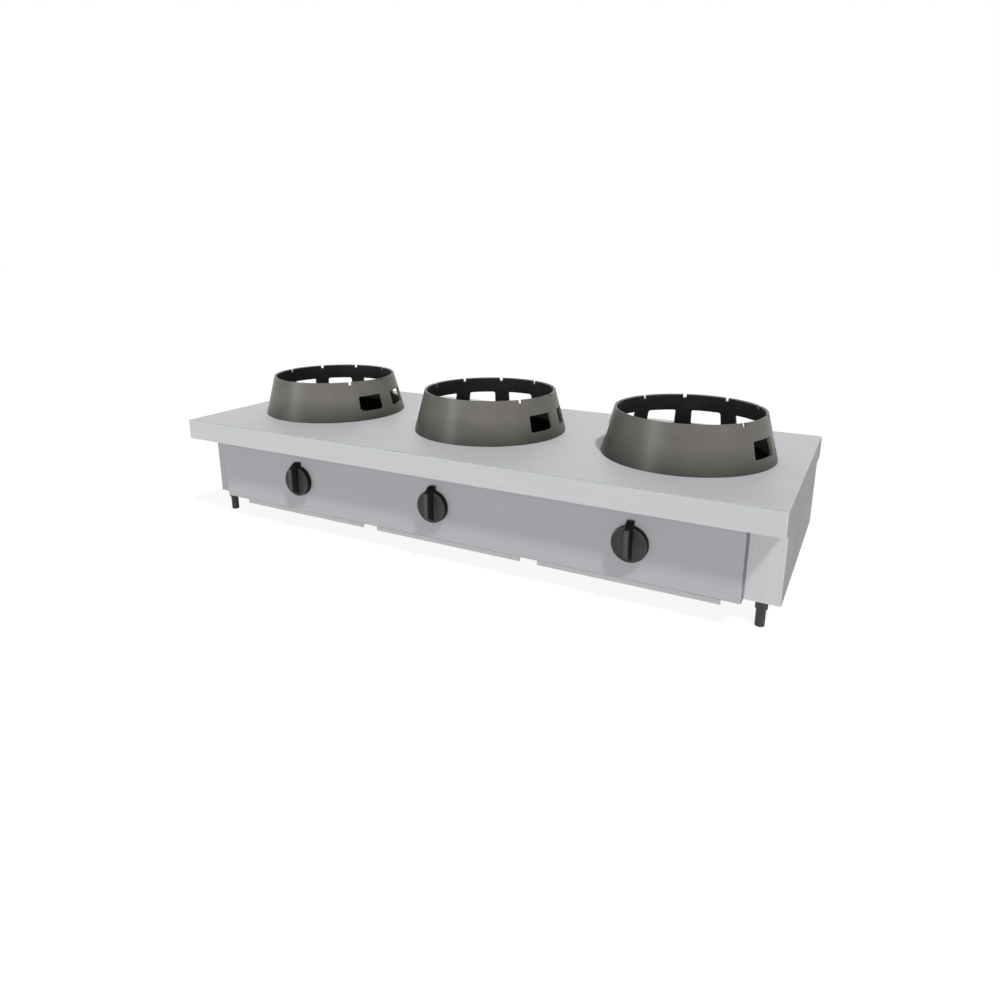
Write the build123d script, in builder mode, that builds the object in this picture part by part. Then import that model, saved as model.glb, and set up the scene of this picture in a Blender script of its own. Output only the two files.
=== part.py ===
from build123d import *
import math
import os

# Table-top gas wok range: three wok rings on a folded worktop, a set-back control panel
# with three knobs, drip trays on runners and levelling feet. Sizes are in millimetres.
# The origin is on the floor under the middle of the worktop: X right, Y back, Z up.
os.makedirs("parts", exist_ok=True)

# Worktop
width = 1500
depth = 600
top_height = 270  # surface above the floor
top_sheet = 2
fold_height = 50
corner_radius = 4
bend_radius = 3
hem_width = 12
ring_margin = 62  # worktop's end to the outer wok ring
collar_gap = 4  # inside of a wok ring to the upturned edge of its hole
collar_height = 6

# Wok rings
ring_base = 380
ring_rim = 326
ring_height = 101
ring_wall = 6
window_width = 72
window_low = 24
window_high = 62
window_round = 5
notch_width = 8
notch_depth = 8
ring_steps = 10  # places for windows and notches round a ring
solid_steps = 3  # of them closed, at the front

# Body panels
sheet = 1.5
body_inset = 4  # inside the worktop's edges
body_bottom = 52
flange_setback = 82  # wide front flange, behind the worktop's edge
return_width = 55  # top and bottom flanges of the side panels
rear_return = 15
panel_setback = 45
panel_side = 72  # worktop's end to the control panel
panel_bottom = 57
lip_width = 12
screw_radius = 2
screw_length = 6
screw_head = 3
screw_hex = 4
rear_recess = 50  # room for the gas connection behind the rear panel
rear_flange = 20
vent_length = 60
vent_height = 5
vent_count = 12
vent_place = 150  # middle of the two rows above the floor

# Burner rails
rail_gap = 7  # bowl to rail, seen from above
rail_width = 30
rail_depth = 20
rail_wall = 2
rail_rise = 34.4  # top of the rails above the knobs' axes
end_plate = 3

# Drip trays and their runners
tray_gap = 42
tray_setback = 75
tray_rear = 10  # trays' ends ahead of the rear panel
tray_height = 22
tray_drop = 2  # below the control panel's edge
tray_lip = 10
tray_sheet = 1.5
runner_overlap = 7  # how far a runner reaches under a tray's lip
runner_side = 6  # outer runners to the side panels' flanges
runner_rise = 20
runner_start = 11  # behind the trays' fronts
running_gap = 0.3

# Burners
bowl_radius = 88
bowl_base = 45
bowl_height = 52
bowl_wall = 6
bowl_lift = 5  # above the rails
lug_thick = 8
lug_half = 50
lug_round = 8
bolt_spread = 26
bolt_radius = 4
bolt_hex = 7
bolt_head = 5
bolt_reach = 6  # below the rails' upper wall
mixer_lift = 20  # mixing tube's axis above the bowl's underside
mixer_gap = 10  # its mouth to the manifold's axis, seen from above
mixer_mouth = 27
mixer_throat = 17
mixer_neck = 24
mixer_flare = 35
mixer_wall = 4.5
crown_overhang = 4
crown_height = 23
crown_chamfer = 11
crown_wall = 7
slot_count = 30
slot_width = 3
port_count = 12
port_radius = 2.5
shutter_thick = 3
shutter_web = 2
nozzle_length = 10
nozzle_bore = 1

# Knobs, valves and gas line
knob_offsets = (88, -6, -38)  # from the rings' axes, left to right
knob_height = 140.6
knob_radius = 38
knob_gap = 3.1
disc_depth = 12.8
disc_round = 2.5
disc_margin = 4  # grip's lower end inside the disc's rim
grip_root = 2  # how deep the grip sits in the disc
grip_round = 2
grip_depth = 36  # front of the grip ahead of the panel
grip_width = 10
grip_up = 37
grip_down = 20
pointer_up = 49
push_travel = 2.5
spindle_radius = 4
spindle_flat = 1
shaft_hole = 7
nose_radius = 10
valve_set = 15  # valves' fronts behind the panel's face
valve_radius = 15
valve_length = 60
valve_nose = 3
valve_edge = 1.5
valve_bore = 12
housing_drop = 7
housing_radius = 8
housing_hex = 5
housing_nut = 10
housing_reach = 55  # ahead of the manifold, on the rear side
collar_length = 2
manifold_set = 45  # manifold's axis behind the valves' fronts
manifold_drop = 40.6  # and below the knobs' axes
pipe_radius = 13.45
pipe_wall = 2.3
socket_radius = 12
socket_bore = 5
socket_rise = 4
cap_wall = 3
cap_skirt = 6
cap_end = 10
cap_chamfer = 2
outlet_reach = 20
tube_radius = 4
tube_bend = 9
inlet_side = 60  # worktop's end to the inlet's axis
elbow_wall = 3.5
elbow_reach = 32
elbow_socket = 12
inlet_step = 4  # rear panel to the inlet's hex
inlet_hex = 3
inlet_grip = 14
inlet_wall = 3
thread_radius = 10.48
thread_length = 20
pilot_radius = 6
pilot_gap = 8.5  # crown to pilot
pilot_angle = 56
pilot_drop = 6  # pilot's top below the crown's
pilot_plate = 2
pilot_end = 6  # round ends of the plate
hood_depth = 14
hood_height = 9
pilot_tube_radius = 2
probe_radius = 1.5
probe_gap = 11
probe_angle = 46
probe_drop = 8  # its tip below the pilot's top
wire_bend = 8
bracket_place = 250
bracket_sheet = 3
bracket_edge = 8

# Feet
foot_side = 40
foot_rear = 60
foot_radius = 9.5
foot_edge = 1
foot_collar = 16
foot_hex = 12
stud_radius = 5
stud_reach = 33
nut_height = 8
nut_across = 16
nut_gap = 0.5  # nut to the side panel's flange
fit = 0.3  # clearance between pieces that slide or turn

# Planes and lines that follow from the sizes above
half = width / 2
body_half = half - body_inset
body_top = top_height - top_sheet
flange_face = flange_setback - depth / 2
body_back = depth / 2 - body_inset
panel_face = panel_setback - depth / 2
panel_half = half - panel_side
panel_width = 2 * panel_half
rear_face = depth / 2 - rear_recess
inner_half = body_half - sheet
flange_width = body_half - panel_half + sheet + lip_width
screw_across = panel_half - sheet - lip_width / 2
screw_heights = (panel_bottom + 2 * lip_width, body_top - 2 * lip_width)

ring_pitch = half - ring_margin - ring_base / 2
ring_places = (-ring_pitch, 0, ring_pitch)
spill_radius = ring_base / 2 - ring_wall - collar_gap - top_sheet
knob_places = [ring + offset for ring, offset in zip(ring_places, knob_offsets)]

tray_top = panel_bottom - tray_drop
tray_front = tray_setback - depth / 2
tray_back = rear_face - tray_rear
tray_length = tray_back - tray_front
runner_half = tray_gap / 2 + runner_overlap
tray_pitch = (body_half - return_width - runner_side - runner_half) * 2 / 3
tray_width = tray_pitch - tray_gap
tray_places = (-tray_pitch, 0, tray_pitch)
runner_places = [tray_pitch * (i - 1.5) for i in range(4)]
runner_low = tray_top - tray_sheet - running_gap - sheet
runner_top = tray_top + runner_rise

rail_top = knob_height + rail_rise
rail_low = rail_top - rail_depth
rail_place = bowl_radius + rail_gap + rail_width / 2
lug_top = rail_top + lug_thick
bowl_low = rail_top + bowl_lift
crown_seat = bowl_low + bowl_height
crown_radius = bowl_radius + crown_overhang
valve_front = -panel_face - valve_set
manifold_place = valve_front - manifold_set
manifold_height = knob_height - manifold_drop
mixer_height = bowl_low + mixer_lift
mixer_end = manifold_place - mixer_gap
socket_top = manifold_height + pipe_radius + socket_rise
housing_end = manifold_place - housing_reach
inlet_place = half - inlet_side
foot_front = flange_setback + sheet + nut_across / 2 + nut_gap


def hex_prism(plane, radius, length):
    with BuildSketch(plane) as outline:
        RegularPolygon(radius, side_count=6)
    extrude(outline.sketch, amount=length)


# Worktop: one sheet folded down on four sides, holes with upturned collars
with BuildPart() as worktop:
    with BuildSketch(Plane.XY.offset(top_height - fold_height)):
        RectangleRounded(width, depth, corner_radius)
    extrude(amount=fold_height)
    fillet(worktop.faces().sort_by(Axis.Z)[-1].edges(), bend_radius)
    offset(amount=-top_sheet, openings=worktop.faces().sort_by(Axis.Z)[0])
    with BuildSketch(Plane.XY.offset(body_top)):
        with Locations(*[(x, 0) for x in ring_places]):
            Circle(spill_radius)
    extrude(amount=top_sheet, mode=Mode.SUBTRACT)
    with BuildSketch(Plane.XY.offset(body_top)):
        with Locations(*[(x, 0) for x in ring_places]):
            Circle(spill_radius + top_sheet)
            Circle(spill_radius, mode=Mode.SUBTRACT)
    extrude(amount=top_sheet + collar_height)
    with BuildSketch(Plane.XY.offset(top_height - fold_height)):
        with Locations((0, -depth / 2 + top_sheet + hem_width / 2)):
            Rectangle(width - 2 * corner_radius, hem_width)
    extrude(amount=top_sheet)
worktop.part.label = "worktop"
export_step(worktop.part, "parts/worktop.step")


# Side panels: deep pans, open to the inside, with a wide front flange
for name, side in (("left", -1), ("right", 1)):
    with BuildPart() as side_panel:
        with BuildSketch(Plane.XY.offset(body_bottom)):
            with Locations((side * (body_half - flange_width / 2), (flange_face + body_back) / 2)):
                Rectangle(flange_width, body_back - flange_face)
        extrude(amount=body_top - body_bottom)
        outer = side_panel.faces().sort_by(Axis.X)[-1 if side > 0 else 0]
        fillet(outer.edges().filter_by(Axis.Z), bend_radius)
        inner = side_panel.faces().sort_by(Axis.X)[0 if side > 0 else -1]
        offset(amount=-sheet, openings=inner)
        trim = flange_width - return_width
        with BuildSketch(Plane.XY.offset(body_bottom)):
            trim_middle = side * (body_half - return_width - trim / 2)
            with Locations((trim_middle, (flange_face + sheet + body_back) / 2)):
                Rectangle(trim, body_back - flange_face - sheet)
        extrude(amount=body_top - body_bottom, mode=Mode.SUBTRACT)
        with BuildSketch(Plane.XY.offset(body_bottom + sheet)):
            cut = return_width - rear_return
            with Locations((side * (body_half - rear_return - cut / 2), body_back - sheet / 2)):
                Rectangle(cut, sheet)
        extrude(amount=body_top - body_bottom - 2 * sheet, mode=Mode.SUBTRACT)
        with BuildSketch(Plane.XY.offset(body_bottom)):
            with Locations(
                (side * (half - foot_side), foot_front - depth / 2),
                (side * (half - foot_side), depth / 2 - foot_rear),
            ):
                Circle(stud_radius + fit)
        extrude(amount=sheet, mode=Mode.SUBTRACT)
        with BuildSketch(Plane.XZ.offset(-flange_face)):
            with Locations(*[(side * screw_across, z) for z in screw_heights]):
                Circle(screw_radius + fit)
        extrude(amount=-sheet, mode=Mode.SUBTRACT)
    side_panel.part.label = f"side_panel_{name}"
    export_step(side_panel.part, f"parts/side_panel_{name}.step")


# Control panel: a pan open to the back, with lips that screw to the side flanges
with BuildPart() as control_panel:
    with BuildSketch(Plane.XY.offset(panel_bottom)):
        with Locations((0, (panel_face + flange_face) / 2)):
            Rectangle(panel_width, flange_face - panel_face)
    extrude(amount=body_top - panel_bottom)
    fillet(control_panel.faces().sort_by(Axis.Y)[0].edges(), bend_radius)
    offset(amount=-sheet, openings=control_panel.faces().sort_by(Axis.Y)[-1])
    with BuildSketch(Plane.XZ.offset(-flange_face)):
        for side in (-1, 1):
            with Locations((side * screw_across, (panel_bottom + body_top) / 2)):
                Rectangle(lip_width, body_top - panel_bottom)
            with Locations(*[(side * screw_across, z) for z in screw_heights]):
                Circle(screw_radius + fit, mode=Mode.SUBTRACT)
    extrude(amount=sheet)
    with BuildSketch(Plane.XZ.offset(-panel_face)):
        with Locations(*[(x, knob_height) for x in knob_places]):
            Circle(shaft_hole)
    extrude(amount=-sheet, mode=Mode.SUBTRACT)
control_panel.part.label = "control_panel"
export_step(control_panel.part, "parts/control_panel.step")


# Rear panel: a pan open to the back, with vent slots and the hole of the gas inlet
rear_top = body_top - sheet - fit
with BuildPart() as rear_panel:
    with BuildSketch(Plane.XY.offset(panel_bottom)):
        with Locations((0, rear_face + rear_flange / 2)):
            Rectangle(2 * inner_half, rear_flange)
    extrude(amount=rear_top - panel_bottom)
    fillet(rear_panel.faces().sort_by(Axis.Y)[0].edges(), bend_radius)
    offset(amount=-sheet, openings=rear_panel.faces().sort_by(Axis.Y)[-1])
    with BuildSketch(Plane.XZ.offset(-rear_face)):
        with Locations((0, vent_place)):
            with GridLocations(width / (vent_count + 1), 3 * vent_height, vent_count, 2):
                SlotOverall(vent_length, vent_height)
        with Locations((inlet_place, manifold_height)):
            Circle(pipe_radius + fit)
    extrude(amount=-sheet, mode=Mode.SUBTRACT)
rear_panel.part.label = "rear_panel"
export_step(rear_panel.part, "parts/rear_panel.step")


# Burner rails: box tubes with end plates against the side panels
for name, place in (("front", -rail_place), ("rear", rail_place)):
    with BuildPart() as rail:
        with BuildSketch(Plane.YZ.offset(-inner_half)):
            with Locations((place, rail_top - rail_depth / 2)):
                Rectangle(rail_width, rail_depth)
                Rectangle(rail_width - 2 * rail_wall, rail_depth - 2 * rail_wall, mode=Mode.SUBTRACT)
        extrude(amount=2 * inner_half)
        for end in (-inner_half, inner_half - end_plate):
            with BuildSketch(Plane.YZ.offset(end)):
                with Locations((place, rail_low)):
                    Rectangle(2 * rail_width, 2 * rail_depth)
            extrude(amount=end_plate)
        bolts = (-bolt_spread, bolt_spread) if place < 0 else (0,)
        with BuildSketch(Plane.XY.offset(rail_top - rail_wall)):
            with Locations(*[(x + b, place) for x in ring_places for b in bolts]):
                Circle(bolt_radius + fit)
        extrude(amount=rail_wall, mode=Mode.SUBTRACT)
    rail.part.label = f"burner_rail_{name}"
    export_step(rail.part, f"parts/burner_rail_{name}.step")


# Tray runners: T sections hung from the rails, each with a stop behind the trays
standing = (Align.CENTER, Align.MIN)
for number, x in enumerate(runner_places, 1):
    runner_end = Plane.XZ.offset(-tray_back - running_gap)
    with BuildPart() as runner:
        with BuildSketch(runner_end):
            with Locations((x, runner_low)):
                Rectangle(2 * runner_half, sheet, align=standing)
                Rectangle(rail_wall, runner_top - runner_low, align=standing)
        extrude(amount=tray_length + running_gap - runner_start)
        with BuildSketch(runner_end):
            with Locations((x, runner_low)):
                Rectangle(2 * runner_half, tray_lip, align=standing)
        extrude(amount=-rail_wall)
        with BuildSketch(Plane.YZ.offset(x - rail_wall / 2)):
            with Locations((-rail_place, runner_low + sheet), (rail_place, runner_low + sheet)):
                Rectangle(rail_width, rail_low - runner_low - sheet, align=standing)
        extrude(amount=rail_wall)
        with BuildSketch(Plane.XY.offset(rail_low)):
            with Locations((x, -rail_place), (x, rail_place)):
                Rectangle(rail_depth, rail_width)
        extrude(amount=-rail_wall)
    runner.part.label = f"tray_runner_{number}"
    export_step(runner.part, f"parts/tray_runner_{number}.step")


# Drip trays: drawn pans with side lips and a wider front plate
for number, x in enumerate(tray_places, 1):
    with BuildPart() as tray:
        with BuildSketch(Plane.XY.offset(tray_top - tray_height)):
            with Locations((x, tray_front + tray_length / 2)):
                Rectangle(tray_width - 2 * tray_lip, tray_length)
        extrude(amount=tray_height)
        fillet(tray.faces().sort_by(Axis.Z)[0].edges(), bend_radius)
        offset(amount=-tray_sheet, openings=tray.faces().sort_by(Axis.Z)[-1])
        with BuildSketch(Plane.XY.offset(tray_top - tray_sheet)):
            with Locations((x, tray_front + tray_length / 2)):
                Rectangle(tray_width, tray_length)
                mouth_width = tray_width - 2 * tray_lip - tray_sheet
                Rectangle(mouth_width, tray_length - 2 * tray_lip, mode=Mode.SUBTRACT)
        extrude(amount=tray_sheet)
        with BuildSketch(Plane.XZ.offset(-tray_front)):
            with Locations((x, tray_top - tray_height / 2)):
                Rectangle(tray_width, tray_height)
        extrude(amount=-tray_sheet)
    tray.part.label = f"drip_tray_{number}"
    export_step(tray.part, f"parts/drip_tray_{number}.step")


# Burner bodies: a cast bowl on two lugs, with the mixing tube running to the front
bowl_turn = bowl_low + bowl_height / 2
mixer_waist = mixer_end - mixer_flare
bore_start = bowl_radius - 3 * bowl_wall
for number, x in enumerate(ring_places, 1):
    profile = Plane(origin=(x, 0, 0), x_dir=(1, 0, 0), z_dir=(0, -1, 0))
    tube_plane = Plane(origin=(x, 0, mixer_height), x_dir=(0, -1, 0), z_dir=(-1, 0, 0))
    tube_axis = Axis((x, 0, mixer_height), (0, 1, 0))
    with BuildPart() as body:
        with BuildSketch(profile):
            with BuildLine():
                Polyline((0, crown_seat), (0, bowl_low), (bowl_base, bowl_low))
                RadiusArc((bowl_base, bowl_low), (bowl_radius, bowl_turn), -bowl_height)
                Polyline((bowl_radius, bowl_turn), (bowl_radius, crown_seat), (0, crown_seat))
            make_face()
        revolve(axis=Axis((x, 0, 0), (0, 0, 1)))
        with BuildSketch(tube_plane):
            with BuildLine():
                Polyline((0, 0), (0, mixer_neck), (bowl_radius, mixer_neck), (mixer_waist, mixer_throat))
                TangentArc((mixer_waist, mixer_throat), (mixer_end, mixer_mouth), tangent=(1, 0))
                Polyline((mixer_end, mixer_mouth), (mixer_end, 0), (0, 0))
            make_face()
        revolve(axis=tube_axis)
        with BuildSketch(Plane(origin=(x, 0, rail_top))):
            with Locations((0, -rail_place)):
                RectangleRounded(2 * lug_half, rail_width - 2 * rail_wall, lug_round)
            with Locations((0, -rail_place / 2)):
                Rectangle(bowl_base, rail_place)
            with Locations((0, rail_place / 2 + rail_wall)):
                RectangleRounded(bowl_base, rail_place + rail_width / 2, lug_round)
        extrude(amount=lug_thick)
        with BuildSketch(profile):
            with BuildLine():
                Polyline((0, crown_seat), (0, bowl_low + bowl_wall), (bowl_base, bowl_low + bowl_wall))
                RadiusArc(
                    (bowl_base, bowl_low + bowl_wall),
                    (bowl_radius - bowl_wall, bowl_turn + bowl_wall / 2),
                    bowl_wall - bowl_height,
                )
                Polyline(
                    (bowl_radius - bowl_wall, bowl_turn + bowl_wall / 2),
                    (bowl_radius - bowl_wall, crown_seat),
                    (0, crown_seat),
                )
            make_face()
        revolve(axis=Axis((x, 0, 0), (0, 0, 1)), mode=Mode.SUBTRACT)
        with BuildSketch(tube_plane):
            with BuildLine():
                Polyline(
                    (bore_start, 0),
                    (bore_start, mixer_neck - mixer_wall),
                    (mixer_waist, mixer_throat - mixer_wall),
                )
                TangentArc(
                    (mixer_waist, mixer_throat - mixer_wall),
                    (mixer_end, mixer_mouth - mixer_wall),
                    tangent=(1, 0),
                )
                Polyline((mixer_end, mixer_mouth - mixer_wall), (mixer_end, 0), (bore_start, 0))
            make_face()
        revolve(axis=tube_axis, mode=Mode.SUBTRACT)
        with BuildSketch(Plane(origin=(x, 0, rail_top))):
            with Locations((-bolt_spread, -rail_place), (bolt_spread, -rail_place), (0, rail_place)):
                Circle(bolt_radius + fit)
        extrude(amount=lug_thick, mode=Mode.SUBTRACT)
    body.part.label = f"burner_body_{number}"
    export_step(body.part, f"parts/burner_body_{number}.step")


# Burner heads: crowns with sawn slots round the chamfer and drilled ports in the top
for number, x in enumerate(ring_places, 1):
    profile = Plane(origin=(x, 0, crown_seat), x_dir=(1, 0, 0), z_dir=(0, -1, 0))
    crown = Plane(origin=(x, 0, crown_seat))
    seat = bowl_radius - bowl_wall - fit
    with BuildPart() as head:
        with BuildSketch(profile):
            with BuildLine():
                Polyline(
                    (0, crown_height - crown_wall),
                    (crown_radius - crown_chamfer - crown_wall, crown_height - crown_wall),
                    (seat - crown_wall, crown_height - crown_wall - crown_chamfer / 2),
                    (seat - crown_wall, -bowl_wall),
                    (seat, -bowl_wall),
                    (seat, 0),
                    (crown_radius, 0),
                    (crown_radius, crown_height - crown_chamfer),
                    (crown_radius - crown_chamfer, crown_height),
                    (0, crown_height),
                    close=True,
                )
            make_face()
        revolve(axis=Axis((x, 0, 0), (0, 0, 1)))
        slot_length = 2 * crown_chamfer
        with BuildSketch(crown.offset(crown_height - crown_chamfer)):
            with PolarLocations(crown_radius - slot_length / 2 + fit, slot_count):
                Rectangle(slot_length, slot_width)
        extrude(amount=crown_chamfer, mode=Mode.SUBTRACT)
        with BuildSketch(crown.offset(crown_height - crown_wall)):
            with PolarLocations(crown_radius / 2, port_count):
                Circle(port_radius)
            with PolarLocations(crown_radius / 4, port_count // 2):
                Circle(port_radius)
        extrude(amount=crown_wall, mode=Mode.SUBTRACT)
    head.part.label = f"burner_head_{number}"
    export_step(head.part, f"parts/burner_head_{number}.step")


# Injector holders: a spider plate on the mouth of the mixing tube, a hex body and an elbow
holder_front = manifold_place + nose_radius
holder_low = mixer_height - 1.2 * nose_radius
web_radius = (mixer_mouth - nose_radius) / 2
for number, x in enumerate(ring_places, 1):
    mouth = Plane(origin=(x, -mixer_end, mixer_height), x_dir=(1, 0, 0), z_dir=(0, -1, 0))
    with BuildPart() as holder:
        with BuildSketch(mouth):
            Circle(mixer_mouth)
            with PolarLocations(nose_radius + web_radius, 3, start_angle=30):
                Circle(web_radius - shutter_web, mode=Mode.SUBTRACT)
        extrude(amount=shutter_thick)
        hex_prism(mouth.offset(shutter_thick), nose_radius, holder_front - mixer_end - shutter_thick)
        with BuildSketch(mouth):
            Circle(tube_radius)
        extrude(amount=-nozzle_length)
        with BuildSketch(Plane(origin=(x, -manifold_place, mixer_height))):
            Circle(1.5 * tube_radius)
        extrude(amount=holder_low - mixer_height)
        with BuildSketch(mouth.offset(-nozzle_length)):
            Circle(nozzle_bore)
        extrude(amount=2 * nozzle_length, mode=Mode.SUBTRACT)
    holder.part.label = f"injector_holder_{number}"
    export_step(holder.part, f"parts/injector_holder_{number}.step")


# Gas valves on the sockets of the manifold, each with its flame-failure housing behind
housing_height = knob_height - housing_drop
valve_rear = valve_front - valve_length
block = 1.6 * valve_radius
for number, x in enumerate(knob_places, 1):
    axis_plane = Plane(origin=(x, -valve_front, knob_height), x_dir=(1, 0, 0), z_dir=(0, -1, 0))
    with BuildPart() as valve:
        with BuildSketch(axis_plane):
            Circle(valve_radius)
        extrude(amount=-valve_length)
        chamfer(valve.edges().filter_by(GeomType.CIRCLE), valve_edge)
        with BuildSketch(axis_plane):
            Circle(nose_radius)
        extrude(amount=valve_nose)
        with BuildSketch(Plane(origin=(x, -manifold_place, knob_height))):
            RectangleRounded(block, block, valve_edge)
        extrude(amount=socket_top - knob_height)
        outlet_plane = Plane(origin=(x, -manifold_place, knob_height), x_dir=(0, 1, 0), z_dir=(-1, 0, 0))
        with BuildSketch(outlet_plane):
            Circle(2 * tube_radius)
        extrude(amount=outlet_reach)
        extrude(valve.faces().sort_by(Axis.X)[0], amount=-2 * outlet_reach)
        rear_plane = Plane(origin=(x, -valve_rear, housing_height), x_dir=(-1, 0, 0), z_dir=(0, 1, 0))
        with BuildSketch(rear_plane):
            Circle(housing_radius)
        extrude(amount=valve_rear - housing_end - housing_nut)
        hex_prism(rear_plane, housing_hex, valve_rear - housing_end)
        with BuildSketch(axis_plane.offset(valve_nose)):
            Circle(spindle_radius + fit)
        extrude(amount=-valve_bore, mode=Mode.SUBTRACT)
    valve.part.label = f"gas_valve_{number}"
    export_step(valve.part, f"parts/gas_valve_{number}.step")


# Spindles with a flat, their collars and the knobs
spindle_rear = valve_front + valve_nose - valve_bore + fit + push_travel
spindle_front = -panel_face + knob_gap + disc_depth
for number, x in enumerate(knob_places, 1):
    rear = Plane(origin=(x, -spindle_rear, knob_height), x_dir=(1, 0, 0), z_dir=(0, -1, 0))
    with BuildPart() as spindle:
        with BuildSketch(rear):
            Circle(spindle_radius)
        extrude(amount=spindle_front - spindle_rear)
        with BuildSketch(rear.offset(-panel_face - spindle_rear)):
            with Locations((0, spindle_radius)):
                Rectangle(2 * spindle_radius, 2 * spindle_flat)
        extrude(amount=spindle_front + panel_face, mode=Mode.SUBTRACT)
    spindle.part.label = f"valve_spindle_{number}"
    export_step(spindle.part, f"parts/valve_spindle_{number}.step")

    collar_rear = valve_front + valve_nose + fit + push_travel
    with BuildPart() as collar:
        with BuildSketch(Plane(origin=(x, -collar_rear, knob_height), x_dir=(1, 0, 0), z_dir=(0, -1, 0))):
            Circle(2 * spindle_radius)
            Circle(spindle_radius + fit, mode=Mode.SUBTRACT)
        extrude(amount=collar_length)
    collar.part.label = f"spindle_collar_{number}"
    export_step(collar.part, f"parts/spindle_collar_{number}.step")

    face = Plane(origin=(x, panel_face, knob_height), x_dir=(1, 0, 0), z_dir=(0, -1, 0))
    with BuildPart() as knob:
        with BuildSketch(face.offset(knob_gap)):
            Circle(knob_radius)
        extrude(amount=disc_depth)
        fillet(knob.edges().filter_by(GeomType.CIRCLE).sort_by(Axis.Y)[0], disc_round)
        side_view = Plane(origin=(x, panel_face, knob_height), x_dir=(0, -1, 0), z_dir=(-1, 0, 0))
        with BuildSketch(side_view):
            disc_front = knob_gap + disc_depth
            grip_foot = disc_margin - knob_radius
            with BuildLine():
                Polyline(
                    (knob_gap + grip_root, 0),
                    (knob_gap + grip_root, pointer_up),
                    (disc_front, pointer_up),
                    (grip_depth, grip_up),
                    (grip_depth, -grip_down),
                    (disc_front, grip_foot),
                    (disc_front - grip_root, grip_foot),
                    (disc_front - grip_root, 0),
                    close=True,
                )
            make_face()
        extrude(amount=grip_width / 2, both=True)
        fillet(knob.faces().sort_by(Axis.Y)[0].edges(), grip_round)
        with BuildSketch(face.offset(knob_gap)):
            Circle(spindle_radius + fit / 2)
            with Locations((0, spindle_radius + fit / 2)):
                Rectangle(3 * spindle_radius, 2 * spindle_flat, mode=Mode.SUBTRACT)
        extrude(amount=disc_depth + fit, mode=Mode.SUBTRACT)
    knob.part.label = f"knob_{number}"
    export_step(knob.part, f"parts/knob_{number}.step")


# Manifold: a pipe with a bore under each valve
manifold_left = knob_places[0] - 2 * outlet_reach
manifold_right = inlet_place - elbow_reach + elbow_socket
left_origin = (manifold_left, -manifold_place, manifold_height)
manifold_end = Plane(origin=left_origin, x_dir=(0, 1, 0), z_dir=(1, 0, 0))
with BuildPart() as manifold:
    with BuildSketch(manifold_end):
        Circle(pipe_radius)
        Circle(pipe_radius - pipe_wall, mode=Mode.SUBTRACT)
    extrude(amount=manifold_right - manifold_left)
    for x in knob_places:
        with BuildSketch(Plane(origin=(x, -manifold_place, manifold_height))):
            Circle(socket_bore)
        extrude(amount=pipe_radius, mode=Mode.SUBTRACT)
manifold.part.label = "gas_manifold"
export_step(manifold.part, "parts/gas_manifold.step")

# Cap over the manifold's left end
with BuildPart() as cap:
    with BuildSketch(manifold_end):
        Circle(pipe_radius + cap_wall)
    extrude(amount=cap_skirt)
    extrude(cap.faces().sort_by(Axis.X)[0], amount=cap_end)
    chamfer(cap.edges().filter_by(GeomType.CIRCLE).sort_by(Axis.X)[0], cap_chamfer)
    with BuildSketch(manifold_end):
        Circle(pipe_radius + fit / 2)
    extrude(amount=cap_skirt, mode=Mode.SUBTRACT)
cap.part.label = "manifold_cap"
export_step(cap.part, "parts/manifold_cap.step")

# Weld-on sockets between the manifold and the valves, hollowed out to sit on the pipe
with BuildPart() as sockets:
    for x in knob_places:
        with BuildSketch(Plane(origin=(x, -manifold_place, manifold_height))):
            Circle(socket_radius)
            Circle(socket_bore, mode=Mode.SUBTRACT)
        extrude(amount=socket_top - manifold_height)
    with BuildSketch(manifold_end):
        Circle(pipe_radius + fit / 2)
    extrude(amount=manifold_right - manifold_left, mode=Mode.SUBTRACT)
sockets.part.label = "manifold_sockets"
export_step(sockets.part, "parts/manifold_sockets.step")

# Elbow between the manifold and the inlet pipe, both sunk in its sockets
corner = (inlet_place, -manifold_place, manifold_height)
elbow_left = (inlet_place - elbow_reach, -manifold_place, manifold_height)
elbow_back = (inlet_place, elbow_reach - manifold_place, manifold_height)
left_end = Plane(origin=elbow_left, x_dir=(0, 1, 0), z_dir=(1, 0, 0))
back_end = Plane(origin=elbow_back, x_dir=(1, 0, 0), z_dir=(0, -1, 0))
with BuildPart() as elbow:
    with BuildLine() as bend:
        FilletPolyline(elbow_left, corner, elbow_back, radius=pipe_radius + elbow_wall + 1)
    with BuildSketch(left_end):
        Circle(pipe_radius + elbow_wall)
    sweep(path=bend.line)
    for end in (left_end, back_end):
        with BuildSketch(end):
            Circle(pipe_radius + fit / 2)
        extrude(amount=elbow_socket, mode=Mode.SUBTRACT)
    with BuildSketch(left_end):
        Circle(pipe_radius - pipe_wall)
    sweep(path=bend.line, mode=Mode.SUBTRACT)
elbow.part.label = "inlet_elbow"
export_step(elbow.part, "parts/inlet_elbow.step")

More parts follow.
